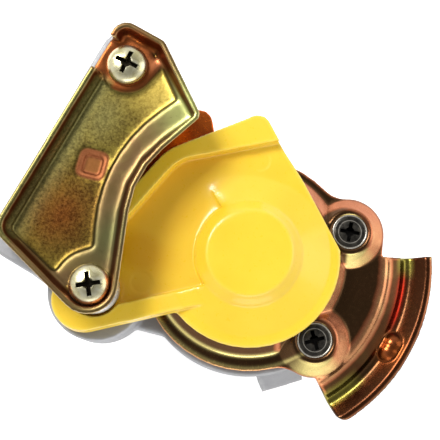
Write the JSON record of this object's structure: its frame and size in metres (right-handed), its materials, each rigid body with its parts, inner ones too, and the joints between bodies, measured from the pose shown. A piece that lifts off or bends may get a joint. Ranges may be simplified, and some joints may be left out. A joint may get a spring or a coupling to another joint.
{
  "type": "air brake coupling head",
  "caption": "Palm coupling head for an air brake line: threaded port at the back, pressed claw plate, raised guide plate, and a sprung cover that swings off the face seal.",
  "frame": {"origin": "centre of the port mouth, at the back end of the head", "axes": "+Z along the port and seal axis, out of the coupling face; +X from that axis to the middle of the claw lip"},
  "size_m": [0.1307, 0.0903, 0.0669],
  "materials": {
    "body_casting": "matt die-cast aluminium",
    "claw_sheet": "gold chromated zinc plating, iridescent",
    "guide_sheet": "olive and gold chromated zinc plating, iridescent, speckled",
    "cover_plastic": "glossy moulded plastic",
    "seal_rubber": "matt rubber",
    "spring_wire": "drawn spring wire",
    "dark_screws": "dark oiled steel",
    "pale_screws": "pale yellow passivated zinc"
  },
  "bodies": {
    "head": {"body": "body_casting", "claw_plate": "claw_sheet", "guide_plate": "guide_sheet", "face_seal": "seal_rubber", "return_spring": "spring_wire", "claw_plate_screws": "dark_screws", "guide_plate_screws": "pale_screws"},
    "lid": {"cover": "cover_plastic"}
  },
  "joints": [
    {"name": "cover_swing", "type": "hinge", "parent": "head", "child": "lid", "pos_m": [-0.0355, -0.033, 0.05], "axis": [0, 0, -1], "range_deg": [0, 95], "stiffness_Nm_per_rad": 0.08, "springref_deg": -34.38, "deforming": ["return_spring"]}
  ]
}
